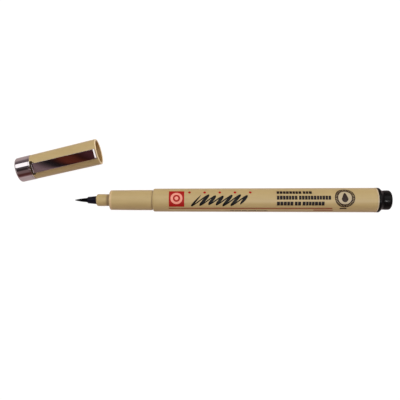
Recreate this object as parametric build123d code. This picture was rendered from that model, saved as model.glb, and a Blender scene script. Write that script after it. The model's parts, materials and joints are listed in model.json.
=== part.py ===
"""A brush pen lying uncapped on a table, with its cap beside it.

The table is the plane z = 0. The pen lies along X, brush towards -X and tail towards +X.
The cap lies turned about Z, clip up, with its mouth towards +X. All sizes are in millimetres.

Each part is drawn along the X axis first, and then laid in its place. Stations along the pen
are distances from the brush's tip, and stations along the cap are distances from its closed end.
"""

import os

from build123d import *

# Where the pen and the cap lie
pen_axis_height = 5.14
cap_axis_height = 5.36
tail_x = 77.59
pen_y = -10.11
cap_end_x = -76.55
cap_end_y = 2.26
cap_turn = 13.25
cap_roll = 13.0

# Lengths along the pen, from the tip to the tail
brush_length = 5.45
holder_length = 3.7
collar_length = 5.67
grip_length = 17.88
barrel_length = 92.3
plug_length = 6.05

# Brush tuft, whose root is a ball, and its holder
brush_radius = 0.98
brush_tip_radius = 0.05
brush_taper = 0.62
ball_radius = 1.05
cup_clearance = 0.04
holder_mouth_radius = 1.34
holder_radius = 1.7
holder_flange_radius = 2.4
holder_flange_length = 1.2
feed_radius = 0.6
feed_gap = 0.1
feed_length = 17.7

# Front section
collar_radius = 2.5
collar_rounding = 0.8
grip_front_radius = 4.08
grip_radius = 4.2
grip_rounding = 0.5
grip_land_length = 5.0
groove_width = 0.4
groove_depth = 0.25
spigot_radius = 3.75
spigot_length = 9.0
cavity_radius = 3.2
cavity_setback = 2.8

# Barrel
barrel_front_radius = 4.77
barrel_rear_radius = 5.09
shoulder_rounding = 0.65
barrel_bore_radius = 3.9
barrel_front_seat = 10.0
barrel_lip_width = 0.45
barrel_lip_height = 0.05
rib_count = 6
rib_width = 0.6
rib_setback = 2.0
rib_clearance = 0.05

# Ink reservoir
reservoir_radius = 2.9
film_radius = 3.05
film_setback = 0.5
reservoir_setback = 5.8
feed_depth = 4.0

# End plug
plug_seat_radius = 4.0
plug_seat_length = 12.0
flange_radius = 5.14
flange_length = 1.1
flange_front_rounding = 0.12
flange_rear_rounding = 0.2
bevel_length = 0.97
bevel_end_radius = 4.2
stem_length = 0.45
stem_end_radius = 3.98
neck_radius = 3.6
neck_length = 0.25
knob_radius = 4.06
knob_front_rounding = 0.08
knob_rounding = 1.0
plug_wall = 1.2
stop_radius = 2.7
stop_setback = 2.55

# Cap shell
cap_length = 34.1
cap_mouth_radius = 5.36
cap_step_radius = 5.03
cap_bore_radius = 4.3
cap_bore_length = 18.1
cap_entry_radius = 4.6
cap_entry_length = 4.0
cap_end_wall = 0.35
mouth_rounding = 0.2
disc_radius = 3.95
disc_rise = 0.2
slot_setback = 0.2
slot_width = 1.0
slot_arc = 68.0
slot_floor_radius = 4.41
pocket_length = 0.7
pocket_width = 4.4

# Inner cap
liner_radius = 4.1
liner_length = 15.1
liner_end_wall = 0.35
liner_chamber_radius = 2.1
liner_chamber_length = 9.0
liner_seal_radius = 2.55
liner_lead_in = 0.5

# Clip band
band_length = 6.3
band_inner_radius = 4.7
band_end_radius = 5.03
band_front_radius = 5.11
band_lip = 0.35
band_opening_radius = 4.0
band_rounding = 0.55

# Clip
clip_width = 4.0
clip_thickness = 0.5
clip_end = 33.65
clip_root_height = 6.36
clip_bead_height = 5.94
clip_bead_setback = 1.25
clip_tip_height = 6.31
clip_foot_height = 4.51
clip_root_rounding = 0.45
clip_bead_rounding = 1.2
clip_edge_rounding = 0.12

# Stations worked out from the lengths above
holder_front = brush_length
collar_front = holder_front + holder_length
grip_front = collar_front + collar_length
cavity_front = grip_front + cavity_setback
reservoir_front = grip_front + reservoir_setback
barrel_front = grip_front + grip_length
barrel_rear = barrel_front + barrel_length
plug_front = barrel_rear - plug_seat_length
reservoir_rear = barrel_rear - stop_setback
tail = barrel_rear + plug_length
liner_seat = band_lip + cap_end_wall
slot_front = band_length + slot_setback
clip_root = slot_front + slot_width


def round_corners(profile, corners):
    """Round each listed (corner, rounding) of a flat profile."""
    for corner, rounding in corners:
        vertex = profile.vertices().sort_by_distance(Vector(*corner, 0))[0]
        profile = fillet(vertex, rounding)
    return profile


def ring(outline, corners=()):
    """A body of revolution about X from its (station, radius) outline, with some corners rounded."""
    profile = Sketch() + make_face(Polyline(*outline, close=True))
    return revolve(round_corners(profile, corners), Axis.X)


def rod(start, end, radius):
    """A solid rod along X between two stations."""
    return Pos((start + end) / 2, 0, 0) * Rot(0, 90, 0) * Cylinder(radius, end - start)


def brush_tip():
    """The tapered tuft, on a ball that turns in the holder's mouth."""
    steps = 6
    swell = brush_radius - brush_tip_radius
    side = [
        (brush_length * step / steps, brush_tip_radius + swell * (step / steps) ** brush_taper)
        for step in range(steps + 1)
    ]
    outline = Spline(*side) + Polyline(side[-1], (brush_length, 0), (0, 0), side[0])
    tuft = revolve(make_face(outline), Axis.X)
    return tuft + Pos(holder_front, 0, 0) * Sphere(ball_radius)


def nib_holder():
    """Tapered holder pushed through the collar from behind, with a cup for the tuft's ball."""
    flange_rear = cavity_front + holder_flange_length
    profile = make_face(
        Polyline(
            (holder_front, feed_radius),
            (holder_front, holder_mouth_radius),
            (collar_front, holder_radius),
            (cavity_front, holder_radius),
            (cavity_front, holder_flange_radius),
            (flange_rear, holder_flange_radius),
            (flange_rear, feed_radius),
            close=True,
        )
    )
    cup = Pos(holder_front, 0, 0) * Circle(ball_radius + cup_clearance)
    return revolve(profile - cup, Axis.X)


def feed_core():
    """Fibre rod that carries ink from the reservoir to the tuft."""
    front = holder_front + ball_radius + feed_gap
    return rod(front, front + feed_length, feed_radius)


def front_section():
    """Collar and grip in one moulding, with a spigot that fits into the barrel."""
    land_end = barrel_front - groove_width
    groove_radius = grip_radius - groove_depth
    spigot_end = barrel_front + spigot_length
    return ring(
        [
            (collar_front, holder_radius),
            (collar_front, collar_radius),
            (grip_front, collar_radius),
            (grip_front, grip_front_radius),
            (land_end - grip_land_length, grip_radius),
            (land_end, grip_radius),
            (land_end, groove_radius),
            (barrel_front, groove_radius),
            (barrel_front, spigot_radius),
            (spigot_end, spigot_radius),
            (spigot_end, cavity_radius),
            (cavity_front, cavity_radius),
            (cavity_front, holder_radius),
        ],
        [
            ((collar_front, collar_radius), collar_rounding),
            ((grip_front, grip_front_radius), grip_rounding),
        ],
    )


def barrel():
    """Tapered tube with ribs inside that centre the reservoir."""
    seat_end = barrel_front + barrel_front_seat
    lip_front = barrel_rear - barrel_lip_width
    lip_radius = barrel_rear_radius + barrel_lip_height
    tube = ring(
        [
            (barrel_front, spigot_radius),
            (barrel_front, barrel_front_radius),
            (lip_front, barrel_rear_radius),
            (lip_front, lip_radius),
            (barrel_rear, lip_radius),
            (barrel_rear, plug_seat_radius),
            (plug_front, plug_seat_radius),
            (plug_front, barrel_bore_radius),
            (seat_end, barrel_bore_radius),
            (seat_end, spigot_radius),
        ],
        [((barrel_front, barrel_front_radius), shoulder_rounding)],
    )
    rib_front = seat_end + rib_setback
    rib_rear = plug_front - rib_setback
    rib_root = barrel_front_radius
    rib = Pos((rib_front + rib_rear) / 2, 0, rib_root / 2) * Box(
        rib_rear - rib_front, rib_width, rib_root
    )
    for index in range(rib_count):
        tube += Rot(360 * index / rib_count, 0, 0) * rib
    return tube - rod(rib_front, rib_rear, film_radius + rib_clearance)


def ink_reservoir():
    """Fibre core, bored at its front end for the feed core."""
    core = rod(reservoir_front, reservoir_rear, reservoir_radius)
    return core - rod(reservoir_front, reservoir_front + feed_depth, feed_radius)


def reservoir_film():
    """Film sleeve wrapped around the reservoir."""
    front = reservoir_front + film_setback
    rear = reservoir_rear - film_setback
    return rod(front, rear, film_radius) - rod(front, rear, reservoir_radius)


def end_plug():
    """Hollow plug that holds the reservoir's end and closes the barrel with a stepped knob."""
    bevel_front = barrel_rear + flange_length
    stem_front = bevel_front + bevel_length
    neck_front = stem_front + stem_length
    knob_front = neck_front + neck_length
    hollow_end = tail - plug_wall
    return ring(
        [
            (plug_front, film_radius),
            (plug_front, plug_seat_radius),
            (barrel_rear, plug_seat_radius),
            (barrel_rear, flange_radius),
            (bevel_front, flange_radius),
            (stem_front, bevel_end_radius),
            (neck_front, stem_end_radius),
            (neck_front, neck_radius),
            (knob_front, neck_radius),
            (knob_front, knob_radius),
            (tail, knob_radius),
            (tail, 0),
            (hollow_end, 0),
            (hollow_end, stop_radius),
            (reservoir_rear, stop_radius),
            (reservoir_rear, film_radius),
        ],
        [
            ((barrel_rear, flange_radius), flange_front_rounding),
            ((bevel_front, flange_radius), flange_rear_rounding),
            ((knob_front, knob_radius), knob_front_rounding),
            ((tail, knob_radius), knob_rounding),
        ],
    )


def clip_slot():
    """What is cut from the cap shell for the clip: a narrow slot round it and a pocket for the foot."""
    depth = cap_mouth_radius - slot_floor_radius
    middle = slot_floor_radius + depth / 2
    section = Pos(slot_front + slot_width / 2, middle, 0) * Rectangle(slot_width, depth)
    slot = Rot(90 - slot_arc / 2, 0, 0) * revolve(section, Axis.X, slot_arc)
    pocket = Pos(clip_root + pocket_length / 2, 0, middle) * Box(pocket_length, pocket_width, depth)
    return slot + pocket


def cap_shell():
    """Moulded tube closed at one end, with a seat for the clip band."""
    bore_end = cap_length - cap_bore_length
    entry_end = cap_length - cap_entry_length
    disc_face = band_lip - disc_rise
    shell = ring(
        [
            (disc_face, 0),
            (disc_face, disc_radius),
            (band_lip, disc_radius),
            (band_lip, band_inner_radius),
            (band_length, band_inner_radius),
            (band_length, cap_step_radius),
            (cap_length, cap_mouth_radius),
            (cap_length, cap_entry_radius),
            (entry_end, cap_entry_radius),
            (entry_end, cap_bore_radius),
            (bore_end, cap_bore_radius),
            (bore_end, liner_radius),
            (liner_seat, liner_radius),
            (liner_seat, 0),
        ],
        [
            ((cap_length, cap_mouth_radius), mouth_rounding),
            ((cap_length, cap_entry_radius), mouth_rounding),
        ],
    )
    return shell - clip_slot()


def inner_cap():
    """Liner pressed into the cap shell, whose mouth seals on the collar."""
    chamber_front = liner_seat + liner_end_wall
    seal_front = chamber_front + liner_chamber_length
    mouth = liner_seat + liner_length
    return ring([
        (liner_seat, 0),
        (liner_seat, liner_radius),
        (mouth, liner_radius),
        (mouth, liner_seal_radius + liner_lead_in),
        (mouth - liner_lead_in, liner_seal_radius),
        (seal_front, liner_seal_radius),
        (seal_front, liner_chamber_radius),
        (chamber_front, liner_chamber_radius),
        (chamber_front, 0),
    ])


def clip_band():
    """Sheet metal ring around the cap's closed end, with its edge rolled in."""
    return ring(
        [
            (0, band_opening_radius),
            (0, band_end_radius),
            (band_length, band_front_radius),
            (band_length, band_inner_radius),
            (band_lip, band_inner_radius),
            (band_lip, band_opening_radius),
        ],
        [((0, band_end_radius), band_rounding)],
    )


def clip():
    """Sprung strip with a foot in the shell's slot, a bead that grips cloth and a turned-up end."""
    bead = clip_end - clip_bead_setback
    foot_rear = clip_root + clip_thickness
    root = (clip_root, clip_root_height)
    bead_top = (bead, clip_bead_height)
    bead_under = (bead, clip_bead_height - clip_thickness)
    profile = Sketch() + make_face(
        Polyline(
            (clip_root, clip_foot_height),
            root,
            bead_top,
            (clip_end, clip_tip_height),
            (clip_end, clip_tip_height - clip_thickness),
            bead_under,
            (foot_rear, clip_root_height - clip_thickness),
            (foot_rear, clip_foot_height),
            close=True,
        )
    )
    profile = round_corners(
        profile,
        [
            (root, clip_root_rounding),
            (bead_top, clip_bead_rounding),
            (bead_under, clip_bead_rounding),
        ],
    )
    strip = extrude(Rot(90, 0, 0) * profile, clip_width / 2, both=True)
    sides = strip.faces().sort_by(Axis.Y)
    return fillet(sides[0].edges() + sides[-1].edges(), clip_edge_rounding)


pen_parts = [
    brush_tip,
    nib_holder,
    feed_core,
    front_section,
    barrel,
    ink_reservoir,
    reservoir_film,
    end_plug,
]
cap_parts = [
    cap_shell,
    inner_cap,
    clip_band,
    clip,
]
pen_place = Pos(tail_x - tail, pen_y, pen_axis_height)
cap_place = Pos(cap_end_x, cap_end_y, cap_axis_height) * Rot(0, 0, cap_turn) * Rot(cap_roll, 0, 0)

os.makedirs("parts", exist_ok=True)
for part in pen_parts:
    export_step(pen_place * part(), f"parts/{part.__name__}.step")
for part in cap_parts:
    export_step(cap_place * part(), f"parts/{part.__name__}.step")
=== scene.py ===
"""A brush pen lying uncapped beside its cap, in a white studio. All lengths are in metres."""

import json
import math
import random

import bmesh
import bpy
from mathutils import Matrix, Vector

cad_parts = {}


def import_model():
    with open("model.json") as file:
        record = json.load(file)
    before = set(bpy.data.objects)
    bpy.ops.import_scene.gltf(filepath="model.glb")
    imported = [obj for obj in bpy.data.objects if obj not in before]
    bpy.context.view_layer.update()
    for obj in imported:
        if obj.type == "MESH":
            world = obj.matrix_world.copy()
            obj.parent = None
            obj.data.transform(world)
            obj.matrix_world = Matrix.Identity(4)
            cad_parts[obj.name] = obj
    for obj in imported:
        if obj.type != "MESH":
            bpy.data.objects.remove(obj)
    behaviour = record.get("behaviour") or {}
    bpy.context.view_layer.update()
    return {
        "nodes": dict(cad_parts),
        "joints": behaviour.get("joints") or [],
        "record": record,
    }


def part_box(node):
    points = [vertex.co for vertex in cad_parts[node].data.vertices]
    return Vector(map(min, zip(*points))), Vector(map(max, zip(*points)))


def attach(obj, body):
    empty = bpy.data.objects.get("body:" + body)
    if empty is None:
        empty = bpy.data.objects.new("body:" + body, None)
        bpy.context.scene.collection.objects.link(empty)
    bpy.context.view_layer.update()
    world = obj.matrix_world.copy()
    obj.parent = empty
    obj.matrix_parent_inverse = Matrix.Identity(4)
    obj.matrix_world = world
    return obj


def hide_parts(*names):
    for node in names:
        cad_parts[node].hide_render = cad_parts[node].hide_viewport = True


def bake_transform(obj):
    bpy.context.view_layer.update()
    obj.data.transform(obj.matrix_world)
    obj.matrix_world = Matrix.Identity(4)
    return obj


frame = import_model()

MM = 0.001
TINY = 0.01 * MM

mounts = {mount["name"]: mount for mount in frame["record"]["mounts"]}
joints = {joint["name"]: joint for joint in frame["joints"]}


# Places read from the frame

def outline(node, place):
    """A CAD node's vertices as (station, radius) pairs, along a place's X axis and out from it."""
    back = place.inverted()
    points = [back @ vertex.co for vertex in frame["nodes"][node].data.vertices]
    return [(point.x, math.hypot(point.y, point.z)) for point in points]


def ends(points):
    """The first and last station of an outline."""
    stations = [station for station, radius in points]
    return min(stations), max(stations)


def widest(points, start, end):
    """An outline's largest radius between two stations."""
    return max(radius for station, radius in points if start - TINY < station < end + TINY)


def narrowest(points, start, end):
    """An outline's smallest radius between two stations."""
    return min(radius for station, radius in points if start - TINY < station < end + TINY)


def pen_frame():
    """The pen's own frame: its origin is the brush's tip, and X runs along the pen."""
    plug_low, plug_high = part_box("end_plug")
    middle = (plug_low + plug_high) / 2
    tip_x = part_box("brush_tip")[0].x
    return Matrix.Translation((tip_x, middle.y, middle.z))


def cap_frame():
    """The cap's own frame: its origin is the closed end, X runs to the mouth and Z to the clip."""
    along = Vector(mounts["cap_bore"]["axis"]).normalized()
    across = -Vector(joints["clip_flex"]["axis"]).normalized()
    out = along.cross(across).normalized()
    turned = Matrix((along, out.cross(along), out)).transposed().to_4x4()
    turned.translation = Vector(mounts["cap_bore"]["pos_m"])
    closed_end = ends(outline("clip_band", turned))[0]
    return turned @ Matrix.Translation((closed_end, 0, 0))


def grip_start():
    """The station where the grip's front face stands, and the radius of the collar before it."""
    front = outline("front_section", pen_place)
    collar_front = ends(front)[0]
    collar_radius = widest(front, collar_front, collar_front + 2 * MM)
    face = min(station for station, radius in front if radius > collar_radius + MM / 2)
    return face, collar_radius


def local_box(node, place):
    """The lowest and highest corner of a CAD node in a frame of its own."""
    back = place.inverted()
    points = [back @ vertex.co for vertex in frame["nodes"][node].data.vertices]
    low = Vector([min(point[axis] for point in points) for axis in range(3)])
    high = Vector([max(point[axis] for point in points) for axis in range(3)])
    return low, high


pen_place = pen_frame()
cap_place = cap_frame()
pen_length = ends(outline("end_plug", pen_place))[1]

tube = outline("barrel", pen_place)
barrel_front, barrel_rear = ends(tube)
lip_width = 0.45 * MM
lip_rise = 0.05 * MM
lip_front = barrel_rear - lip_width
lip_radius = widest(tube, barrel_rear, barrel_rear)
barrel_rear_radius = lip_radius - lip_rise
barrel_front_radius = widest(tube, barrel_front, barrel_front + MM)


# Camera, which looks straight down. The aim is a share of the pen's length from the brush's tip
aim_along_pen = 0.397
aim_beside_pen = 0.04 * MM
camera_beyond_aim = 4.1 * MM
camera_height = 205 * MM
field_width = 166.46 * MM
sensor_width = 36


# Meshes

sharp_edge = 35
band_sheet = 0.35 * MM


def rounded(corners, steps=6):
    """Points along (station, radius, rounding) corners, with an arc in place of each rounded corner."""
    points = []
    for index, (station, radius, rounding) in enumerate(corners):
        here = Vector((station, radius))
        if rounding == 0:
            points.append(here)
            continue
        before = (Vector(corners[index - 1][:2]) - here).normalized()
        after = (Vector(corners[(index + 1) % len(corners)][:2]) - here).normalized()
        half = before.angle(after) / 2
        centre = here + (before + after).normalized() * rounding / math.sin(half)
        start = here + before * rounding / math.tan(half) - centre
        end = here + after * rounding / math.tan(half) - centre
        for step in range(steps + 1):
            points.append(centre + start.lerp(end, step / steps).normalized() * rounding)
    return points


def divided(points, stride):
    """A closed outline whose long straight runs are split into even pieces."""
    result = []
    for index, point in enumerate(points):
        following = points[(index + 1) % len(points)]
        on_axis = max(point.y, following.y) < TINY
        pieces = 1 if on_axis else max(1, math.ceil((following - point).length / stride))
        result += [point.lerp(following, piece / pieces) for piece in range(pieces)]
    return result


def bridge(mesh, ring, following):
    """Faces between two rings of vertices, either of which may be a single pole."""
    for index in range(max(len(ring), len(following))):
        corners = [
            ring[index % len(ring)],
            ring[(index + 1) % len(ring)],
            following[(index + 1) % len(following)],
            following[index % len(following)],
        ]
        distinct = list(dict.fromkeys(corners))
        if len(distinct) > 2:
            mesh.faces.new(distinct)


def finished(name, mesh, place, finishes, sharp=sharp_edge):
    """Turns a bmesh into an object in its place, smooth apart from its sharp edges."""
    bmesh.ops.recalc_face_normals(mesh, faces=mesh.faces[:])
    data = bpy.data.meshes.new(name)
    mesh.to_mesh(data)
    mesh.free()
    data.transform(place)
    for finish in finishes:
        data.materials.append(finish)
    data.shade_smooth()
    data.set_sharp_from_angle(angle=math.radians(sharp))
    made = bpy.data.objects.new(name, data)
    bpy.context.collection.objects.link(made)
    return made


def lathe(name, corners, place, finishes, segments=144, stride=1.5 * MM, second=None):
    """A closed turned body from its (station, radius, rounding) corners, about a place's X axis.
    Its long faces are split at every stride, and those between the two stations in second take the
    second finish."""
    mesh = bmesh.new()
    rings = []
    for station, radius in divided(rounded(corners), stride):
        turns = 1 if radius < TINY else segments
        angles = [2 * math.pi * index / turns for index in range(turns)]
        rings.append([
            mesh.verts.new((station, radius * math.cos(angle), radius * math.sin(angle)))
            for angle in angles
        ])
    for index, ring in enumerate(rings):
        bridge(mesh, ring, rings[(index + 1) % len(rings)])
    if second:
        for face in mesh.faces:
            if second[0] < face.calc_center_median().x < second[1]:
                face.material_index = 1
    return finished(name, mesh, place, finishes)


def barrel_shell():
    """The barrel, with a rounded shoulder, and a hairline seam in front of its lip, whose paler finish
    is a painted highlight.
    """
    plug_front = ends(outline("end_plug", pen_place))[0]
    seat_radius = narrowest(tube, barrel_rear, barrel_rear)
    spigot_radius = narrowest(tube, barrel_front, barrel_front)
    seat_end = ends(outline("front_section", pen_place))[1] + MM
    bore_radius = seat_radius - 0.1 * MM
    seam_width = 0.16 * MM
    seam_depth = 0.07 * MM
    seam_radius = barrel_rear_radius - seam_depth
    shoulder_rounding = 0.65 * MM
    lip_rounding = 0.1 * MM
    made = lathe("barrel_shell", [
        (barrel_front, spigot_radius, 0),
        (barrel_front, barrel_front_radius, shoulder_rounding),
        (lip_front - seam_width, barrel_rear_radius, 0.05 * MM),
        (lip_front - seam_width, seam_radius, 0),
        (lip_front, seam_radius, 0),
        (lip_front, lip_radius, lip_rounding),
        (barrel_rear, lip_radius, lip_rounding),
        (barrel_rear, seat_radius, 0),
        (plug_front, seat_radius, 0),
        (plug_front, bore_radius, 0),
        (seat_end, bore_radius, 0),
        (seat_end, spigot_radius, 0),
    ], pen_place, [finish["body"], finish["lip"]], second=(lip_front, barrel_rear + TINY))
    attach(made, "pen")
    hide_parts("barrel")


def front_shell():
    """The collar and the grip, with a fine step on the collar and the groove behind the land."""
    front = outline("front_section", pen_place)
    collar_front, spigot_end = ends(front)
    grip_front, collar_radius = grip_start()
    grip_radius = mounts["grip_land"]["dims"]["r_mm"] * MM
    grip_front_radius = widest(front, grip_front, grip_front + MM)
    land_end = max(station for station, radius in front if radius > grip_radius - TINY)
    land_start = land_end - mounts["grip_land"]["dims"]["length_mm"] * MM
    groove_radius = widest(front, barrel_front, barrel_front)
    spigot_radius = widest(front, spigot_end, spigot_end)
    cavity_radius = narrowest(front, spigot_end, spigot_end)
    hole_radius = narrowest(front, collar_front, spigot_end)
    wall_behind_collar = 2.8 * MM
    cavity_front = grip_front + wall_behind_collar
    step_station = collar_front + 3.3 * MM
    step_width = 0.1 * MM
    step_depth = 0.045 * MM
    step_rounding = 0.03 * MM
    collar_rounding = 0.8 * MM
    grip_rounding = 0.5 * MM
    made = lathe("front_shell", [
        (collar_front, hole_radius, 0.06 * MM),
        (collar_front, collar_radius, collar_rounding),
        (step_station, collar_radius, step_rounding),
        (step_station + step_width, collar_radius - step_depth, step_rounding),
        (grip_front, collar_radius - step_depth, 0.1 * MM),
        (grip_front, grip_front_radius, grip_rounding),
        (land_start, grip_radius, 0),
        (land_end, grip_radius, 0.1 * MM),
        (land_end, groove_radius, 0.06 * MM),
        (barrel_front, groove_radius, 0),
        (barrel_front, spigot_radius, 0),
        (spigot_end, spigot_radius, 0.2 * MM),
        (spigot_end, cavity_radius, 0),
        (cavity_front, cavity_radius, 0),
        (cavity_front, hole_radius, 0),
    ], pen_place, [finish["grip"]])
    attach(made, "pen")
    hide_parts("front_section")


def holder_shell():
    """The tuft's tapered holder, with a thin rounded mouth and its flange inside the collar."""
    holder = outline("nib_holder", pen_place)
    mouth, rear = ends(holder)
    mouth_radius = widest(holder, mouth, mouth)
    collar_front = ends(outline("front_section", pen_place))[0]
    body_radius = widest(holder, collar_front, collar_front)
    flange_radius = widest(holder, rear, rear)
    flange_width = 1.2 * MM
    flange_front = rear - flange_width
    feed_radius = narrowest(holder, rear, rear)
    cup_depth = 1.15 * MM
    cup_wall = 0.2 * MM
    cup_radius = mouth_radius - cup_wall
    made = lathe("holder_shell", [
        (mouth, cup_radius, 0.05 * MM),
        (mouth, mouth_radius, 0.09 * MM),
        (collar_front, body_radius, 0),
        (flange_front, body_radius, 0),
        (flange_front, flange_radius, 0.1 * MM),
        (rear, flange_radius, 0.1 * MM),
        (rear, feed_radius, 0),
        (mouth + cup_depth, feed_radius, 0),
        (mouth + cup_depth, cup_radius, 0),
    ], pen_place, [finish["holder"]], stride=0.5 * MM)
    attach(made, "pen")
    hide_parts("nib_holder")


def tuft():
    """The brush: strands that swell from a point, lean a little and end at uneven lengths."""
    strands = 30
    across_strand = 6
    rings = 90
    crowding = 1.3
    ridge_share = 0.10
    ridge_curve = 0.7
    longest_gap = 0.22
    fade = 0.25
    wave_height = 0.012
    wave_turn = 5
    lean = 0.5
    point_radius = 0.045 * MM
    root_radius = 0.97 * MM
    taper = 0.62
    root_depth = 0.9 * MM
    mouth = ends(outline("nib_holder", pen_place))[0]
    draw = random.Random(7)
    heights = [draw.uniform(0.4, 1) for strand in range(strands)]
    starts = [draw.uniform(0, longest_gap) for strand in range(strands)]
    mesh = bmesh.new()
    loops = [[mesh.verts.new((0, 0, 0))]]
    for step in range(1, rings + 1):
        share = (step / rings) ** crowding
        station = share * (mouth + root_depth)
        along = min(station / mouth, 1)
        radius = point_radius + (root_radius - point_radius) * along ** taper
        loop = []
        for index in range(strands * across_strand):
            strand = index // across_strand
            within = (index % across_strand) / across_strand
            shown = min(max((along - starts[strand]) / fade, 0), 1)
            ridge = heights[strand] * shown * math.sin(math.pi * within) ** ridge_curve
            wave = wave_height * math.sin(wave_turn * along + strand)
            reach = radius * (1 - ridge_share + ridge_share * ridge + wave * along)
            angle = 2 * math.pi * (index / (strands * across_strand)) + lean * along
            loop.append(mesh.verts.new((station, reach * math.cos(angle), reach * math.sin(angle))))
        loops.append(loop)
    loops.append([mesh.verts.new((mouth + root_depth, 0, 0))])
    for ring, following in zip(loops, loops[1:]):
        bridge(mesh, ring, following)
    made = finished("tuft", mesh, pen_place, [finish["tuft"]], sharp=80)
    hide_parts("brush_tip")
    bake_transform(made)


def plug_shell():
    """The end plug: a proud flange, a bevel, a tapered stem, a groove and a knob with a gate mark."""
    plug = outline("end_plug", pen_place)
    plug_front, tail = ends(plug)
    seat_radius = widest(plug, plug_front, plug_front)
    hollow_radius = narrowest(plug, plug_front, plug_front)
    flange_radius = widest(plug, barrel_rear, tail)
    knob_radius = mounts["post_knob"]["dims"]["r_mm"] * MM
    flange_width = 1.1 * MM
    flange_rear = barrel_rear + flange_width
    bevel_width = 0.97 * MM
    stem_front = flange_rear + bevel_width
    stem_front_radius = knob_radius + 0.14 * MM
    knob_length = 3.28 * MM
    knob_front = tail - knob_length
    knob_front_radius = knob_radius - 0.09 * MM
    knob_lead = 1.1 * MM
    knob_rounding = 1.0 * MM
    neck_width = 0.25 * MM
    neck_radius = knob_radius - 0.2 * MM
    stem_rear = knob_front - neck_width
    stem_rear_radius = knob_radius - 0.06 * MM
    gate_radius = 0.7 * MM
    gate_depth = 0.12 * MM
    end_wall = 1.3 * MM
    hollow_end = tail - end_wall
    made = lathe("plug_shell", [
        (plug_front, hollow_radius, 0),
        (plug_front, seat_radius, 0.2 * MM),
        (barrel_rear, seat_radius, 0),
        (barrel_rear, flange_radius, 0.12 * MM),
        (flange_rear, flange_radius, 0.3 * MM),
        (stem_front, stem_front_radius, 0.25 * MM),
        (stem_rear, stem_rear_radius, 0.06 * MM),
        (stem_rear, neck_radius, 0.04 * MM),
        (knob_front, neck_radius, 0.04 * MM),
        (knob_front, knob_front_radius, 0.05 * MM),
        (knob_front + knob_lead, knob_radius, 0),
        (tail, knob_radius, knob_rounding),
        (tail, gate_radius, 0.05 * MM),
        (tail - gate_depth, gate_radius - gate_depth, 0.04 * MM),
        (tail - gate_depth, 0, 0),
        (hollow_end, 0, 0),
        (hollow_end, hollow_radius, 0),
    ], pen_place, [finish["plug"]], stride=0.8 * MM)
    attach(made, "pen")
    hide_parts("end_plug")


def cap_skin():
    """The cap's tube, with the clip's slot cut through it and a thin rounded rim at its mouth."""
    shell = outline("cap_shell", cap_place)
    disc_face, mouth = ends(shell)
    disc_radius = 3.95 * MM
    band = outline("clip_band", cap_place)
    band_start, band_front = ends(band)
    seat_front = band_start + band_sheet
    seat_radius = narrowest(band, band_front, band_front)
    band_step = 0.08 * MM
    step_radius = widest(band, band_front, band_front) - band_step
    mouth_radius = widest(shell, mouth - MM, mouth)
    rim_width = 0.3 * MM
    entry_radius = 4.6 * MM
    entry_depth = 4 * MM
    entry_end = mouth - entry_depth
    entry_wall = 0.15 * MM
    bore_radius = mounts["cap_bore"]["dims"]["r_mm"] * MM
    bore_depth = 18.1 * MM
    bore_end = mouth - bore_depth
    liner = outline("inner_cap", cap_place)
    liner_radius = widest(liner, 0, mouth)
    liner_seat = ends(liner)[0]

    # The clip's slot, and the pocket under the strip's bend. The tube widens a little along them
    foot_front = local_box("clip", cap_place)[0].x
    slot_front = band_front + 0.08 * MM
    slot_radius = 4.41 * MM
    slot_half = math.radians(34)
    slot_edge = 0.01 * MM
    skin_depth = 0.05 * MM
    pocket_end = foot_front + 0.7 * MM
    pocket_half_width = 2.2 * MM
    slot_front_radius = step_radius + 0.007 * MM
    foot_front_radius = step_radius + 0.014 * MM
    pocket_end_radius = step_radius + 0.022 * MM
    finishes = [finish["body"], finish["inside"], finish["hollow"], finish["rim"]]
    made = lathe("cap_skin", [
        (disc_face, 0, 0),
        (disc_face, disc_radius, 0.08 * MM),
        (seat_front, disc_radius, 0),
        (seat_front, seat_radius, 0),
        (band_front, seat_radius, 0),
        (band_front, step_radius, 0.05 * MM),
        (slot_front - slot_edge, slot_front_radius, 0),
        (slot_front, slot_front_radius, 0),
        (foot_front, foot_front_radius, 0),
        (foot_front + slot_edge, foot_front_radius, 0),
        (pocket_end, pocket_end_radius, 0),
        (pocket_end + slot_edge, pocket_end_radius, 0),
        (mouth, mouth_radius, rim_width),
        (mouth, entry_radius, 0.2 * MM),
        (entry_end, entry_radius, 0),
        (entry_end, bore_radius, 0),
        (bore_end, bore_radius, 0),
        (bore_end, liner_radius, 0),
        (liner_seat, liner_radius, 0),
        (liner_seat, 0, 0),
    ], cap_place, finishes, segments=240, stride=2.5 * MM)
    back = cap_place.inverted()
    for vertex in made.data.vertices:
        point = back @ vertex.co
        radius = math.hypot(point.y, point.z)
        off_top = abs(math.atan2(point.y, point.z))
        in_slot = slot_front - TINY / 2 < point.x < foot_front + TINY / 2 and off_top < slot_half
        in_pocket = (
            slot_front - TINY / 2 < point.x < pocket_end + TINY / 2
            and point.z > 0 and abs(point.y) < pocket_half_width
        )
        if radius > slot_radius and (in_slot or in_pocket):
            shrink = slot_radius / radius
            vertex.co = cap_place @ Vector((point.x, point.y * shrink, point.z * shrink))
    for face in made.data.polygons:
        middle = back @ face.center
        radius = math.hypot(middle.y, middle.z)
        # Painted shade: the walls inside the clip's slot and pocket take a near-black copy of the
        # plastic
        in_hollow = slot_front - slot_edge < middle.x < pocket_end
        if in_hollow and bore_radius < radius < step_radius - skin_depth:
            face.material_index = finishes.index(finish["hollow"])
        # Painted highlight: the mouth's rim takes a paler copy of the plastic
        elif middle.x > mouth - rim_width:
            face.material_index = finishes.index(finish["rim"])
        # Painted shade: the cap's inner wall takes a darker ochre copy of the plastic
        elif radius < entry_radius + entry_wall and middle.x > liner_seat + TINY:
            face.material_index = finishes.index(finish["inside"])
    made.data.set_sharp_from_angle(angle=math.radians(sharp_edge))
    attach(made, "cap")
    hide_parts("cap_shell")


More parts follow.
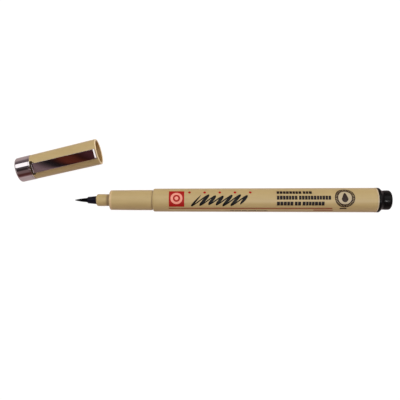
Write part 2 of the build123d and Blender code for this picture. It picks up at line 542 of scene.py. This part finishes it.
def band_shell():
    """The bright ring round the cap's closed end, rolled in at its back, with a groove behind the
    bead at its front."""
    band = outline("clip_band", cap_place)
    start, front = ends(band)
    opening_radius = narrowest(band, start, front)
    front_radius = widest(band, front, front)
    end_radius = front_radius - 0.08 * MM
    end_rounding = 0.7 * MM
    inner_radius = narrowest(band, front, front)
    bead_width = 0.5 * MM
    bead = front - bead_width
    groove_half_width = 0.08 * MM
    groove_radius = front_radius - 0.13 * MM
    made = lathe("band_shell", [
        (start, opening_radius, 0.1 * MM),
        (start, end_radius, end_rounding),
        (bead - 2 * groove_half_width, front_radius, 0.03 * MM),
        (bead - groove_half_width, groove_radius, 0.02 * MM),
        (bead, front_radius, 0.03 * MM),
        (front, front_radius, 0.12 * MM),
        (front, inner_radius, 0),
        (start + band_sheet, inner_radius, 0.05 * MM),
        (start + band_sheet, opening_radius, 0.1 * MM),
    ], cap_place, [finish["metal"]], segments=192, stride=0.6 * MM)
    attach(made, "cap")
    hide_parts("clip_band")


def strip_section(width, thickness, crown, rounding, steps=4, spans=8):
    """A strip's closed cross-section as (across, out) points, crowned on top, with rounded edges."""
    inside = width / 2 - rounding
    half = thickness / 2
    points = []
    for span in range(spans + 1):
        across = inside - 2 * inside * span / spans
        points.append((across, half - crown * (2 * across / width) ** 2))
    edge = half - crown * (2 * inside / width) ** 2 - rounding
    for centre, start in ((edge, 90), (rounding - half, 180)):
        for step in range(1, steps + 1):
            angle = math.radians(start + 90 * step / steps)
            points.append((rounding * math.cos(angle) - inside, centre + rounding * math.sin(angle)))
    for span in range(1, spans + 1):
        points.append((2 * inside * span / spans - inside, -half))
    for centre, start in ((rounding - half, 270), (edge, 0)):
        for step in range(1, steps + 1 if start else steps):
            angle = math.radians(start + 90 * step / steps)
            points.append((rounding * math.cos(angle) + inside, centre + rounding * math.sin(angle)))
    return points


def clip_strip():
    """The clip: a crowned strip swept up from its foot, along the cap and up again at its end."""
    low, high = local_box("clip", cap_place)
    thickness = 0.5 * MM
    middle = thickness / 2
    bead_setback = 0.7 * MM
    bead_drop = 0.235 * MM
    bead_rounding = 0.7 * MM
    tip_setback = 0.06 * MM
    tip_drop = 0.03 * MM
    foot_advance = 0.35 * MM
    root = low.x + middle - foot_advance
    root_rounding = 0.27 * MM
    crown = 0.08 * MM
    edge_rounding = 0.07 * MM
    width = high.y - low.y
    path = divided(rounded([
        (root, low.z, 0),
        (root, high.z - middle, root_rounding),
        (high.x - bead_setback, high.z - bead_drop - middle, bead_rounding),
        (high.x - tip_setback, high.z - tip_drop - middle, 0),
    ], steps=10), 0.5 * MM)
    last = max(range(len(path)), key=lambda index: path[index].x)
    path = path[:last + 1]
    section = strip_section(width, thickness, crown, edge_rounding)
    mesh = bmesh.new()
    rings = []
    for index, point in enumerate(path):
        ahead = path[min(index + 1, len(path) - 1)] - path[max(index - 1, 0)]
        ahead.normalize()
        out = Vector((-ahead.y, ahead.x))
        rings.append([
            mesh.verts.new((point.x + out.x * rise, across, point.y + out.y * rise))
            for across, rise in section
        ])
    for ring, following in zip(rings, rings[1:]):
        bridge(mesh, ring, following)
    mesh.faces.new(rings[0])
    mesh.faces.new(rings[-1])
    made = finished("clip_strip", mesh, cap_place, [finish["metal"]], sharp=50)
    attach(made, "clip")
    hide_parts("clip")


# Prints on the barrel. Along is a distance from the brush's tip, and around is a distance over the
# barrel's skin from its top, towards +Y

mark_middle = Vector((42.55, 0.6)) * MM
over_ink = 0.015 * MM


def surface(along, around, lift):
    """A point on the barrel's skin, or lifted off it."""
    share = (along - barrel_front) / (lip_front - barrel_front)
    radius = barrel_front_radius + (barrel_rear_radius - barrel_front_radius) * share
    angle = around / radius
    return Vector((along, (radius + lift) * math.sin(angle), (radius + lift) * math.cos(angle)))


def ribbon(mesh, points, widths, closed=False, across=4):
    """A thin closed strip of ink along (along, around) points, with a width at each."""
    lift = 0.018 * MM
    sink = 0.03 * MM
    tops, bottoms = [], []
    for index, point in enumerate(points):
        if closed:
            ahead = points[(index + 1) % len(points)] - points[index - 1]
        else:
            ahead = points[min(index + 1, len(points) - 1)] - points[max(index - 1, 0)]
        side = Vector((-ahead.y, ahead.x)).normalized()
        places = [point + side * widths[index] * (step / across - 0.5) for step in range(across + 1)]
        tops.append([mesh.verts.new(surface(place.x, place.y, lift)) for place in places])
        bottoms.append([mesh.verts.new(surface(place.x, place.y, -sink)) for place in places])
    loops = [top + bottom[::-1] for top, bottom in zip(tops, bottoms)]
    for ring, following in zip(loops, loops[1:] + (loops[:1] if closed else [])):
        bridge(mesh, ring, following)
    if not closed:
        mesh.faces.new(loops[0])
        mesh.faces.new(loops[-1])


def line(mesh, start, end, width, steps=2, across=4):
    """A straight strip of ink of one width."""
    points = [Vector(start).lerp(Vector(end), step / steps) for step in range(steps + 1)]
    ribbon(mesh, points, [width] * len(points), across=across)


def circle(mesh, centre, radius, width, steps=64, across=4):
    """A ring of ink of one width."""
    points = [
        Vector(centre) + radius * Vector((math.cos(angle), math.sin(angle)))
        for angle in [2 * math.pi * step / steps for step in range(steps)]
    ]
    ribbon(mesh, points, [width] * steps, closed=True, across=across)


def dot(mesh, centre, radius, point_up=0.0, steps=12):
    """A round spot of ink, drawn out to a point by point_up times its radius."""
    points, widths = [], []
    for step in range(steps + 1):
        height = -math.cos(math.pi * step / steps)
        half = math.sqrt(max(1 - height * height, 0.0004))
        rise = radius * (height + point_up * max(height, 0) ** 2)
        points.append(Vector(centre) + Vector((0, rise)))
        widths.append(2 * radius * half * (1 - 0.35 * min(point_up, 1) * max(height, 0)))
    ribbon(mesh, points, widths, across=6)


def print_object(name, mesh, ink, raised=0.0):
    """Turns a bmesh of ink into a piece that rides on the pen, raised when it's over other ink."""
    for vertex in mesh.verts:
        grown = 1 + raised / math.hypot(vertex.co.y, vertex.co.z)
        vertex.co.y *= grown
        vertex.co.z *= grown
    made = finished(name, mesh, pen_place, [ink], sharp=50)
    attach(made, "pen")


def red_print():
    """A red square, and a row of dots behind it."""
    mesh = bmesh.new()
    square_length = 6.3 * MM
    square_width = 6.95 * MM
    half = Vector((square_length / 2, 0))
    line(mesh, mark_middle - half, mark_middle + half, square_width, steps=12, across=24)
    dots = 5
    first_dot = 47.8 * MM
    dot_pitch = 6.2 * MM
    dot_height = 3.4 * MM
    dot_radius = 0.57 * MM
    for index in range(dots):
        centre = (first_dot + dot_pitch * index, dot_height)
        dot(mesh, centre, dot_radius)
    print_object("print_red", mesh, finish["red_ink"])


def pale_print():
    """A pale disc and ring inside the red square, laid over it."""
    mesh = bmesh.new()
    centre = (mark_middle.x, 0.75 * MM)
    ring_radius = 1.95 * MM
    ring_width = 0.95 * MM
    disc_radius = 0.75 * MM
    circle(mesh, centre, ring_radius, ring_width)
    dot(mesh, centre, disc_radius)
    print_object("print_pale", mesh, finish["pale_ink"], raised=over_ink)


def swash_print():
    """A brush flourish: one slanting wave, thick going down and thin going up."""
    start, end = 49.8 * MM, 70.6 * MM
    swings = 6.5
    reach = 2.35 * MM
    middle = -0.1 * MM
    slant = 1.15
    thick, thin = 1.2 * MM, 0.5 * MM
    least_taper = 0.12
    steps = 300
    points, widths = [], []
    for step in range(steps + 1):
        share = step / steps
        phase = 2 * math.pi * swings * share
        swell = 0.86 + 0.14 * math.sin(3.1 * share * math.pi + 0.6)
        around = middle + reach * swell * math.cos(phase)
        along = start + (end - start) * share + slant * (around - middle)
        points.append(Vector((along, around)))
        falling = max(math.sin(phase), 0)
        taper = min(1, 12 * share, 25 * (1 - share)) ** 0.7
        widths.append((thin + (thick - thin) * falling ** 1.3) * max(taper, least_taper))
    mesh = bmesh.new()
    ribbon(mesh, points, widths, across=6)
    print_object("print_swash", mesh, finish["black_ink"])


def rule_print():
    """A fine brown line along the barrel's side, and a short one below its end."""
    mesh = bmesh.new()
    rule_start, rule_end = 39.3 * MM, 106.2 * MM
    rule_height = -3.67 * MM
    rule_width = 0.48 * MM
    line(mesh, (rule_start, rule_height), (rule_end, rule_height), rule_width, steps=40)
    short_start, short_end = 98.6 * MM, 106.5 * MM
    short_height = -4.85 * MM
    short_width = 0.5 * MM
    line(mesh, (short_start, short_height), (short_end, short_height), short_width, steps=6)
    print_object("print_rule", mesh, finish["brown_ink"])


def bar_rows():
    """Three rows of plain blocks in groups, and a finer row low on the barrel's side."""
    mesh = bmesh.new()
    draw = random.Random(3)

    # Each row's start, middle, height and gap in mm, the blocks in its groups, and their lengths
    rows = [
        (83.4, 3.35, 1.35, 0.2, (8, 3), (1.0, 1.2)),
        (83.4, 1.0, 1.65, 0.2, (7, 11), (0.88, 1.12)),
        (83.4, -1.45, 1.65, 0.2, (5, 2, 7), (0.97, 1.25)),
        (64.6, -5.3, 0.45, 0.12, (3, 5, 4, 6, 3, 5), (0.3, 0.5)),
    ]
    for row_start, middle, height, gap, groups, lengths in rows:
        along = row_start
        for count in groups:
            for index in range(count):
                length = draw.uniform(*lengths)
                ends_at = Vector((along + length, middle)) * MM
                line(mesh, Vector((along, middle)) * MM, ends_at, height * MM, steps=2, across=6)
                along += length + gap
            along += 2 * gap
    print_object("print_rows", mesh, finish["dark_ink"])


def seal_print():
    """A round seal: a pale field in two rings with spokes between them, a drop in the middle, and a
    short line below."""
    centre = Vector((111.05, 1.0)) * MM
    outer_radius = 3.95 * MM
    inner_radius = 2.95 * MM
    ring_width = 0.34 * MM
    spokes = 34
    spoke_start = 3.1 * MM
    spoke_end = 3.8 * MM
    spoke_width = 0.46 * MM
    drop_radius = 1.35 * MM
    drop_fall = 0.5 * MM
    foot_start = Vector((-1.9, -4.75)) * MM
    foot_end = Vector((0.9, -4.75)) * MM
    foot_width = 0.6 * MM
    field = bmesh.new()
    dot(field, centre, spoke_start, steps=32)
    print_object("print_field", field, finish["field_ink"])
    mesh = bmesh.new()
    circle(mesh, centre, outer_radius, ring_width)
    circle(mesh, centre, inner_radius, ring_width)
    for index in range(spokes):
        angle = 2 * math.pi * index / spokes
        ray = Vector((math.cos(angle), math.sin(angle)))
        line(mesh, centre + spoke_start * ray, centre + spoke_end * ray, spoke_width, across=2)
    dot(mesh, centre - Vector((0, drop_fall)), drop_radius, point_up=0.9, steps=20)
    line(mesh, centre + foot_start, centre + foot_end, foot_width)
    print_object("print_seal", mesh, finish["seal_ink"], raised=over_ink)


# Materials

def material(name):
    """A new material, with its nodes, its links and its shader."""
    made = bpy.data.materials.new(name)
    made.use_nodes = True
    nodes = made.node_tree.nodes
    shader = nodes["Principled BSDF"]
    return made, nodes, made.node_tree.links, shader


def stretched(nodes, links, coordinates, scale):
    """Coordinates scaled differently along each axis."""
    mapping = nodes.new("ShaderNodeMapping")
    mapping.inputs["Scale"].default_value = scale
    links.new(coordinates, mapping.inputs["Vector"])
    return mapping.outputs["Vector"]


def noise(nodes, links, coordinates, scale, detail=4.0, roughness=0.55):
    """A noise texture on the given coordinates."""
    texture = nodes.new("ShaderNodeTexNoise")
    texture.inputs["Scale"].default_value = scale
    texture.inputs["Detail"].default_value = detail
    texture.inputs["Roughness"].default_value = roughness
    links.new(coordinates, texture.inputs["Vector"])
    return texture.outputs["Fac"]


def ramp(nodes, links, source, stops):
    """A colour ramp driven by source, with (position, colour) stops."""
    made = nodes.new("ShaderNodeValToRGB")
    elements = made.color_ramp.elements
    while len(elements) < len(stops):
        elements.new(0.5)
    for element, (position, colour) in zip(elements, stops):
        element.position = position
        element.color = (*colour, 1)
    links.new(source, made.inputs["Fac"])
    return made.outputs["Color"]


def span(nodes, links, source, low, high, start=0.0, end=1.0):
    """Maps a value from start..end to low..high, and holds it at their ends."""
    made = nodes.new("ShaderNodeMapRange")
    made.inputs["From Min"].default_value = start
    made.inputs["From Max"].default_value = end
    made.inputs["To Min"].default_value = low
    made.inputs["To Max"].default_value = high
    links.new(source, made.inputs["Value"])
    return made.outputs["Result"]


def calculate(nodes, links, operation, first, second):
    """A math node on two sockets or numbers."""
    made = nodes.new("ShaderNodeMath")
    made.operation = operation
    for index, value in enumerate((first, second)):
        if isinstance(value, (int, float)):
            made.inputs[index].default_value = value
        else:
            links.new(value, made.inputs[index])
    return made.outputs["Value"]


def within(nodes, links, value, low, high, soft):
    """One where a value lies between low and high, fading to nothing over soft outside them."""
    rising = span(nodes, links, value, 0, 1, low - soft, low)
    falling = span(nodes, links, value, 1, 0, high, high + soft)
    return calculate(nodes, links, "MULTIPLY", rising, falling)


def mixed(nodes, links, share, first, second):
    """A mix of two colours."""
    made = nodes.new("ShaderNodeMix")
    made.data_type = "RGBA"
    links.new(share, made.inputs["Factor"])
    for socket, colour in ((made.inputs["A"], first), (made.inputs["B"], second)):
        if isinstance(colour, tuple):
            socket.default_value = (*colour, 1)
        else:
            links.new(colour, socket)
    return made.outputs["Result"]


def bump(nodes, links, height, shader, strength, distance):
    """A bump from a height value, distance deep."""
    made = nodes.new("ShaderNodeBump")
    made.inputs["Strength"].default_value = strength
    made.inputs["Distance"].default_value = distance
    links.new(height, made.inputs["Height"])
    links.new(made.outputs["Normal"], shader.inputs["Normal"])


def moulded(name, dark, light, rough_low, rough_high, specular=0.5, sheen=0.0, painted_bands=()):
    """Moulded plastic: a faint mottle, long rubbing marks and a fine spark-eroded grain. Each painted
    band tints it between two places along X, with a soft edge: painted shade where it darkens and a
    painted highlight where it lightens."""
    made, nodes, links, shader = material(name)
    place = nodes.new("ShaderNodeTexCoord").outputs["Object"]
    rub_scale = (90, 1600, 1600)
    mottle = noise(nodes, links, place, scale=120)
    along = stretched(nodes, links, place, rub_scale)
    rubbed = noise(nodes, links, along, scale=1, detail=6, roughness=0.65)
    both = calculate(nodes, links, "ADD", mottle, rubbed)
    shade = span(nodes, links, both, 0, 1, start=0.75, end=1.25)
    colour = ramp(nodes, links, shade, [(0.0, dark), (1.0, light)])
    # Bands of painted shade and painted highlight, tinted along X
    for start, end, soft, strength, tint in painted_bands:
        split = nodes.new("ShaderNodeSeparateXYZ")
        links.new(place, split.inputs["Vector"])
        cover = within(nodes, links, split.outputs["X"], start, end, soft)
        share = calculate(nodes, links, "MULTIPLY", cover, strength)
        colour = mixed(nodes, links, share, colour, tint)
    links.new(colour, shader.inputs["Base Color"])
    rough = span(nodes, links, rubbed, rough_low, rough_high, start=0.3, end=0.7)
    links.new(rough, shader.inputs["Roughness"])
    grain = noise(nodes, links, place, scale=8000, detail=3)
    bump(nodes, links, grain, shader, strength=0.16, distance=0.02 * MM)
    shader.inputs["Specular IOR Level"].default_value = specular
    shader.inputs["Sheen Weight"].default_value = sheen
    shader.inputs["Sheen Roughness"].default_value = 0.35
    shader.inputs["Sheen Tint"].default_value = (0.8, 0.9, 1, 1)
    return made


def bright_metal():
    """Bright plated steel with faint rubbing marks and a few dull spots."""
    made, nodes, links, shader = material("bright_metal")
    place = nodes.new("ShaderNodeTexCoord").outputs["Object"]
    dull, bright = (0.50, 0.465, 0.475), (0.55, 0.52, 0.53)
    stain = noise(nodes, links, place, scale=260, detail=5)
    colour = ramp(nodes, links, stain, [(0.3, dull), (0.7, bright)])
    links.new(colour, shader.inputs["Base Color"])
    shader.inputs["Metallic"].default_value = 1
    scuff_scale = (300, 4000, 4000)
    along = stretched(nodes, links, place, scuff_scale)
    scuffs = noise(nodes, links, along, scale=1, detail=5, roughness=0.7)
    rough = span(nodes, links, scuffs, 0.03, 0.085, start=0.35, end=0.75)
    links.new(rough, shader.inputs["Roughness"])
    bump(nodes, links, scuffs, shader, strength=0.05, distance=0.01 * MM)
    return made


def fibre(name, dark, light, specular=0.5):
    """Fine ink-soaked fibre that runs along the pen."""
    made, nodes, links, shader = material(name)
    place = nodes.new("ShaderNodeTexCoord").outputs["Object"]
    strand_scale = (500, 12000, 12000)
    along = stretched(nodes, links, place, strand_scale)
    strands = noise(nodes, links, along, scale=1, detail=3)
    colour = ramp(nodes, links, strands, [(0.35, dark), (0.7, light)])
    links.new(colour, shader.inputs["Base Color"])
    rough = span(nodes, links, strands, 0.45, 0.7, start=0.3, end=0.7)
    links.new(rough, shader.inputs["Roughness"])
    bump(nodes, links, strands, shader, strength=0.4, distance=0.02 * MM)
    shader.inputs["Specular IOR Level"].default_value = specular
    return made


def ink(name, dark, light, specular=0.5):
    """Screen-printed ink with a slightly uneven film."""
    made, nodes, links, shader = material(name)
    place = nodes.new("ShaderNodeTexCoord").outputs["Object"]
    film = noise(nodes, links, place, scale=2500, detail=4)
    colour = ramp(nodes, links, film, [(0.3, dark), (0.7, light)])
    links.new(colour, shader.inputs["Base Color"])
    links.new(span(nodes, links, film, 0.4, 0.55), shader.inputs["Roughness"])
    bump(nodes, links, film, shader, strength=0.2, distance=0.005 * MM)
    shader.inputs["Specular IOR Level"].default_value = specular
    return made


def assign(made, *names):
    """Gives CAD nodes one material."""
    for name in names:
        mesh = frame["nodes"][name].data
        mesh.materials.clear()
        mesh.materials.append(made)


# Studio

def degrees(nodes, links, aside, upward):
    """The angle of a direction from straight up, from two of its parts."""
    angle = calculate(nodes, links, "ARCTAN2", aside, upward)
    return calculate(nodes, links, "MULTIPLY", angle, 180 / math.pi)


def floor_material():
    """A white sweep that glows a little, so that no shadow falls on it."""
    made, nodes, links, shader = material("studio_floor")
    place = nodes.new("ShaderNodeTexCoord").outputs["Object"]
    dark, light = (0.05, 0.05, 0.05), (0.06, 0.06, 0.06)
    tone = noise(nodes, links, place, scale=3)
    colour = ramp(nodes, links, tone, [(0.3, dark), (0.7, light)])
    links.new(colour, shader.inputs["Base Color"])
    shader.inputs["Roughness"].default_value = 0.8
    shader.inputs["Emission Color"].default_value = (1, 1, 1, 1)
    shader.inputs["Emission Strength"].default_value = 0.97
    return made


def floor():
    """A plain pale floor, which only the camera sees, so that the light from below passes through."""
    bpy.ops.mesh.primitive_plane_add(size=40, location=(0, 0, 0))
    plane = bpy.context.object
    plane.name = "studio_floor"
    plane.data.materials.append(floor_material())
    plane.visible_diffuse = False
    plane.visible_glossy = False
    plane.visible_shadow = False


def softbox(name, location, aim, size, power, glossy=True, diffuse=True):
    """A rectangular area light pointed at aim, which may be kept out of gloss or of plain surfaces."""
    data = bpy.data.lights.new(name, "AREA")
    data.shape = "RECTANGLE"
    data.size, data.size_y = size
    data.energy = power
    lamp = bpy.data.objects.new(name, data)
    lamp.visible_glossy = glossy
    lamp.visible_diffuse = diffuse
    lamp.location = location
    lamp.rotation_euler = (Vector(aim) - Vector(location)).to_track_quat("-Z", "Y").to_euler()
    bpy.context.collection.objects.link(lamp)


def world():
    """A studio with dark cards overhead, paler walls along both sides of the pen and a pale floor."""
    scene = bpy.context.scene
    scene.world = bpy.data.worlds.new("studio")
    scene.world.use_nodes = True
    nodes, links = scene.world.node_tree.nodes, scene.world.node_tree.links
    background = nodes["Background"]
    split = nodes.new("ShaderNodeSeparateXYZ")
    coordinates = nodes.new("ShaderNodeTexCoord").outputs["Generated"]
    links.new(coordinates, split.inputs["Vector"])
    y, z = split.outputs["Y"], split.outputs["Z"]

    # Cards across the pen: how far a direction leans from straight up towards +Y, -90 to 90 degrees
    least_upward = 0.0001
    upward = calculate(nodes, links, "MAXIMUM", z, least_upward)
    lean = degrees(nodes, links, y, upward)
    cards = ramp(nodes, links, span(nodes, links, lean, 0, 1, -90, 90), [
        (0.00, (0.80, 0.66, 0.66)),
        (0.07, (0.32, 0.17, 0.17)),
        (0.12, (0.12, 0.045, 0.04)),
        (0.20, (0.115, 0.04, 0.035)),
        (0.27, (0.26, 0.17, 0.165)),
        (0.35, (0.25, 0.17, 0.17)),
        (0.40, (0.05, 0.035, 0.035)),
        (0.46, (0.05, 0.035, 0.035)),
        (0.52, (0.14, 0.12, 0.13)),
        (0.82, (0.16, 0.12, 0.13)),
        (0.96, (0.28, 0.22, 0.23)),
        (1.00, (0.5, 0.42, 0.43)),
    ])

    # Cards along the cap, and a bright patch further out, which only the clip reflects
    cap_way = nodes.new("ShaderNodeVectorMath")
    cap_way.operation = "DOT_PRODUCT"
    cap_way.inputs[1].default_value = mounts["cap_bore"]["axis"]
    links.new(coordinates, cap_way.inputs[0])
    slope = degrees(nodes, links, cap_way.outputs["Value"], upward)
    striped = ramp(nodes, links, span(nodes, links, slope, 0, 1, -18.7, -10.7), [
        (0.14, (0.30, 0.20, 0.215)),
        (0.20, (0.17, 0.11, 0.12)),
        (0.27, (0.065, 0.045, 0.045)),
        (0.33, (0.012, 0.012, 0.015)),
        (0.42, (0.010, 0.008, 0.008)),
        (0.53, (0.150, 0.030, 0.016)),
        (0.66, (0.130, 0.030, 0.017)),
        (0.76, (0.030, 0.008, 0.006)),
        (0.88, (0.085, 0.026, 0.032)),
    ])
    clip_lean = within(nodes, links, lean, low=-44, high=-4, soft=5)
    clip_slope = within(nodes, links, slope, low=-18, high=20, soft=0.5)
    patch_slope = within(nodes, links, slope, low=-50, high=-43, soft=1)
    on_clip = calculate(nodes, links, "MULTIPLY", clip_lean, clip_slope)
    sky = mixed(nodes, links, on_clip, cards, striped)
    patch_light = (1.9, 1.85, 1.8)
    patch = calculate(nodes, links, "MULTIPLY", clip_lean, patch_slope)
    sky = mixed(nodes, links, patch, sky, patch_light)

    # The floor's light from below
    floor_light = (0.62, 0.50, 0.49)
    below = span(nodes, links, z, 1, 0, start=-0.03, end=0.0)
    sky = mixed(nodes, links, below, sky, floor_light)
    links.new(sky, background.inputs["Color"])
    background.inputs["Strength"].default_value = 1


def camera():
    """Straight down, with +Y at the top of the picture."""
    data = bpy.data.cameras.new("camera")
    data.sensor_width = sensor_width
    data.lens = sensor_width * camera_height / field_width
    data.shift_x = -camera_beyond_aim / field_width
    data.clip_start, data.clip_end = 0.01, 100
    made = bpy.data.objects.new("camera", data)
    aim = pen_place @ Vector((aim_along_pen * pen_length, aim_beside_pen, 0))
    made.location = aim + Vector((camera_beyond_aim, 0, camera_height))
    bpy.context.collection.objects.link(made)
    bpy.context.scene.camera = made


def grip_painted_light():
    """Where the front section is darkened with painted shade, behind the collar and in the groove, and
    where its front edge is lightened with a painted highlight."""
    tip_x = pen_place.translation.x
    corner = tip_x + grip_start()[0]
    groove = tip_x + barrel_front
    collar_painted_shade, edge_painted_highlight, groove_painted_shade = (0.10, 0.05, 0.02), (0.70, 0.49, 0.29), (0.16, 0.08, 0.03)

    # Each painted band's start, end, soft edge, strength and tint
    return [
        (corner - 1.05 * MM, corner - 0.45 * MM, 0.7 * MM, 0.62, collar_painted_shade),
        (corner + 0.35 * MM, corner + 0.8 * MM, 0.4 * MM, 0.45, edge_painted_highlight),
        (groove - 0.5 * MM, groove, 0.12 * MM, 0.25, groove_painted_shade),
    ]


# Each finish has a dark and a light colour. A moulded one also has its lowest and highest
# roughness, and then its specular level where that isn't the usual one
body_colours = (0.433, 0.322, 0.134), (0.465, 0.349, 0.149)
finish = {
    "body": moulded("body_plastic", *body_colours, 0.42, 0.55, sheen=0.28),
    # The grip's plastic has painted shade behind the collar and in the groove, and a painted highlight
    # on its front edge
    "grip": moulded("grip_plastic", *body_colours, 0.42, 0.55, sheen=0.28, painted_bands=grip_painted_light()),
    # Painted shade: a darker ochre copy of the plastic for the cap's inner wall
    "inside": moulded("inside_painted_shade", (0.36, 0.205, 0.060), (0.40, 0.230, 0.070), 0.5, 0.6),
    # Painted shade: a near-black copy of the plastic inside the clip's slot
    "hollow": moulded("hollow_painted_shade", (0.020, 0.010, 0.005), (0.030, 0.015, 0.007), 0.6, 0.7, 0.1),
    # Painted highlight: a paler copy of the plastic on the barrel's lip
    "lip": moulded("lip_painted_highlight", (0.53, 0.43, 0.27), (0.57, 0.47, 0.30), 0.3, 0.4),
    # Painted highlight: a paler copy of the plastic on the cap's mouth rim
    "rim": moulded("rim_painted_highlight", (0.78, 0.63, 0.36), (0.82, 0.67, 0.39), 0.4, 0.5),
    "liner": moulded("liner_plastic", (0.30, 0.16, 0.045), (0.34, 0.18, 0.05), 0.4, 0.5),
    "plug": moulded("plug_plastic", (0.004, 0.0037, 0.0037), (0.006, 0.0056, 0.0056), 0.2, 0.28, 0.08),
    "holder": moulded("holder_plastic", (0.004, 0.0036, 0.009), (0.006, 0.0055, 0.013), 0.3, 0.42, 0.1),
    "film": moulded("film", (0.68, 0.68, 0.66), (0.78, 0.78, 0.75), 0.1, 0.2),
    "metal": bright_metal(),
    "tuft": fibre("tuft", (0.0008, 0.0008, 0.001), (0.002, 0.002, 0.0024), specular=0.03),
    "fibre": fibre("ink_fibre", (0.012, 0.012, 0.016), (0.03, 0.03, 0.036)),
    "red_ink": ink("red_ink", (0.33, 0.004, 0.002), (0.38, 0.006, 0.003), 0.2),
    "pale_ink": ink("pale_ink", (0.74, 0.26, 0.18), (0.80, 0.31, 0.22)),
    "black_ink": ink("black_ink", (0.0015, 0.0015, 0.0010), (0.003, 0.003, 0.002), 0.15),
    "dark_ink": ink("dark_ink", (0.006, 0.0035, 0.003), (0.011, 0.006, 0.005), 0.2),
    "seal_ink": ink("seal_ink", (0.018, 0.008, 0.004), (0.030, 0.013, 0.007), 0.2),
    "field_ink": ink("field_ink", (0.43, 0.35, 0.21), (0.47, 0.385, 0.23)),
    "brown_ink": ink("brown_ink", (0.20, 0.026, 0.008), (0.25, 0.034, 0.011), 0.2),
}

barrel_shell()
front_shell()
holder_shell()
tuft()
plug_shell()
cap_skin()
band_shell()
clip_strip()
red_print()
pale_print()
swash_print()
rule_print()
bar_rows()
seal_print()

assign(finish["liner"], "inner_cap")
assign(finish["fibre"], "feed_core", "ink_reservoir")
assign(finish["film"], "reservoir_film")

floor()
world()
middle = (0, 0, 0)
softbox("key", (0, 0.412, 0.685), middle, size=(3, 0.54), power=9)
softbox("fill", (0, 0.9, 0.45), middle, size=(2, 0.3), power=2.0, glossy=False)
softbox("back_fill", (0, -0.9, 0.4), middle, size=(2, 0.3), power=1.6, glossy=False)
softbox("left_fill", (-1.0, 0, 0.35), middle, size=(0.4, 0.3), power=2.2, glossy=False)
softbox("right_fill", (1.0, 0, 0.35), middle, size=(0.4, 0.3), power=2.2, glossy=False)
softbox("top_fill", (0.15, -0.01, 1.0), (0.03, -0.01, 0), size=(0.2, 0.2), power=1.6, glossy=False)
softbox("glint", (0.43, -0.18, 1.0), (0.08, -0.01, 0), size=(0.2, 0.1), power=0.6, diffuse=False)
softbox("spark", (0.21, -0.2, 1.0), (0.07, -0.01, 0), size=(0.06, 0.1), power=4.0, diffuse=False)
camera()
bpy.context.scene.view_settings.view_transform = "Standard"
